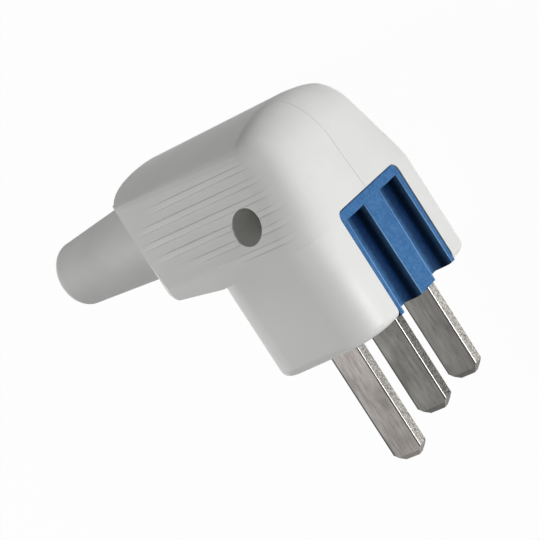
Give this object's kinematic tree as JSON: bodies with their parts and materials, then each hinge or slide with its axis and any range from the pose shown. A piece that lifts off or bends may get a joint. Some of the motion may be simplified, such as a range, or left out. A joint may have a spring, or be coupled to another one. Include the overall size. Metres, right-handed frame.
{
  "type": "angled power plug",
  "caption": "Right-angle rewirable power plug with parallel flat blades, a split white housing with ribbed grips, a blue contact block and a tapered grey cable sleeve.",
  "frame": {"origin": "middle of the bounding box, on the floor that the far half lies on", "axes": "+X out of the front face, -Y along the blades, +Z from the far half to the near half; the cable leaves to -X"},
  "size_m": [0.093, 0.0949, 0.055],
  "materials": {
    "housing_white": "satin moulded plastic",
    "block_blue": "fine grained plastic",
    "blade_nickel": "dull nickel plate, sheared edges",
    "screw_steel": "zinc plated",
    "clamp_grey": "plain moulded plastic",
    "sleeve_grey": "matt soft plastic"
  },
  "bodies": {
    "root": {"near_half": "housing_white", "far_half": "housing_white", "contact_block": "block_blue", "blade_line": "blade_nickel", "blade_neutral": "blade_nickel", "blade_earth": "blade_nickel", "terminal_screw_line": "screw_steel", "terminal_screw_neutral": "screw_steel", "terminal_screw_earth": "screw_steel", "wire_plate_line": "screw_steel", "wire_plate_neutral": "screw_steel", "wire_plate_earth": "screw_steel", "cable_clamp": "clamp_grey", "clamp_screw_upper": "screw_steel", "clamp_screw_lower": "screw_steel", "housing_screw": "screw_steel", "housing_nut": "screw_steel", "cable_sleeve": "sleeve_grey"}
  },
  "joints": []
}
